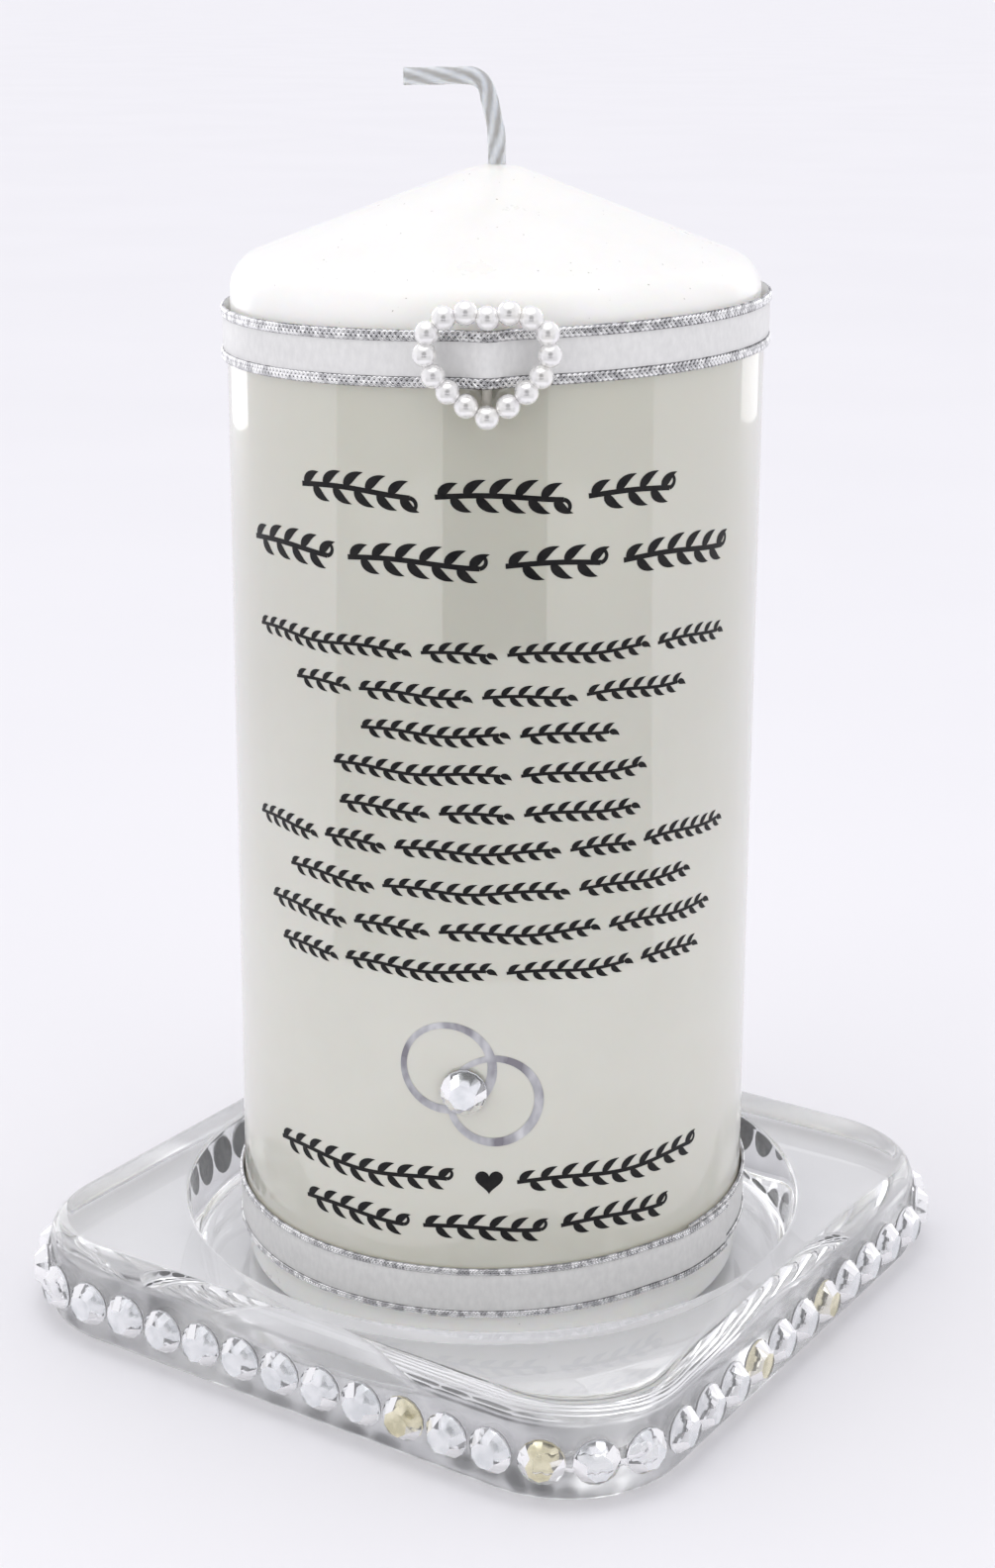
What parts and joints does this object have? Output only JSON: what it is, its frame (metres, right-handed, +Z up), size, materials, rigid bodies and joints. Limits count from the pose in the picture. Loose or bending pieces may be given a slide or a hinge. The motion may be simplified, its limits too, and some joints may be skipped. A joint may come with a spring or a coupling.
{
  "type": "unity candle",
  "caption": "Domed pillar candle with printed film, silver-edged ribbons and a pearl heart, standing in a square glass plate with a stone-set rim.",
  "frame": {"origin": "middle of the glass plate's underside", "axes": "+Z up along the candle's axis, -Y out through the front of the heart and the printed design, +X to the right seen from the front"},
  "size_m": [0.1278, 0.1278, 0.1683],
  "materials": {
    "clear_glass": "clear pressed glass, fire-polished",
    "ivory_wax": "over-dipped ivory wax with a soft gloss",
    "waxed_cotton": "braided cotton soaked in wax",
    "printed_film": "thin clear film, glossy, printed in black and grey",
    "silver_edged_satin": "white satin with silver metallic edges",
    "pearl_plastic": "pearl lacquer on moulded plastic",
    "foiled_crystal": "clear faceted acrylic over silver foil"
  },
  "bodies": {
    "plate": {"corner_gems_back": "foiled_crystal", "corner_gems_front": "foiled_crystal", "corner_gems_left": "foiled_crystal", "corner_gems_right": "foiled_crystal", "gem_back_left_01": "foiled_crystal", "gem_back_left_02": "foiled_crystal", "gem_back_left_03": "foiled_crystal", "gem_back_left_04": "foiled_crystal", "gem_back_left_05": "foiled_crystal", "gem_back_left_06": "foiled_crystal", "gem_back_left_07": "foiled_crystal", "gem_back_left_08": "foiled_crystal", "gem_back_left_09": "foiled_crystal", "gem_back_left_10": "foiled_crystal", "gem_back_left_11": "foiled_crystal", "gem_back_right_01": "foiled_crystal", "gem_back_right_02": "foiled_crystal", "gem_back_right_03": "foiled_crystal", "gem_back_right_04": "foiled_crystal", "gem_back_right_05": "foiled_crystal", "gem_back_right_06": "foiled_crystal", "gem_back_right_07": "foiled_crystal", "gem_back_right_08": "foiled_crystal", "gem_back_right_09": "foiled_crystal", "gem_back_right_10": "foiled_crystal", "gem_back_right_11": "foiled_crystal", "gem_front_left_01": "foiled_crystal", "gem_front_left_02": "foiled_crystal", "gem_front_left_03": "foiled_crystal", "gem_front_left_04": "foiled_crystal", "gem_front_left_05": "foiled_crystal", "gem_front_left_06": "foiled_crystal", "gem_front_left_07": "foiled_crystal", "gem_front_left_08": "foiled_crystal", "gem_front_left_09": "foiled_crystal", "gem_front_left_10": "foiled_crystal", "gem_front_left_11": "foiled_crystal", "gem_front_right_01": "foiled_crystal", "gem_front_right_02": "foiled_crystal", "gem_front_right_03": "foiled_crystal", "gem_front_right_04": "foiled_crystal", "gem_front_right_05": "foiled_crystal", "gem_front_right_06": "foiled_crystal", "gem_front_right_07": "foiled_crystal", "gem_front_right_08": "foiled_crystal", "gem_front_right_09": "foiled_crystal", "gem_front_right_10": "foiled_crystal", "gem_front_right_11": "foiled_crystal", "glass_plate": "clear_glass"},
    "candle": {"heart_buckle": "pearl_plastic", "lower_ribbon": "silver_edged_satin", "printed_film": "printed_film", "ring_gem": "foiled_crystal", "upper_ribbon": "silver_edged_satin", "wax_body": "ivory_wax", "wick": "waxed_cotton"}
  },
  "joints": [
    {"name": "candle_lift", "type": "slide", "parent": "plate", "child": "candle", "axis": [0, 0, 1], "range_m": [0, 0.06]}
  ]
}
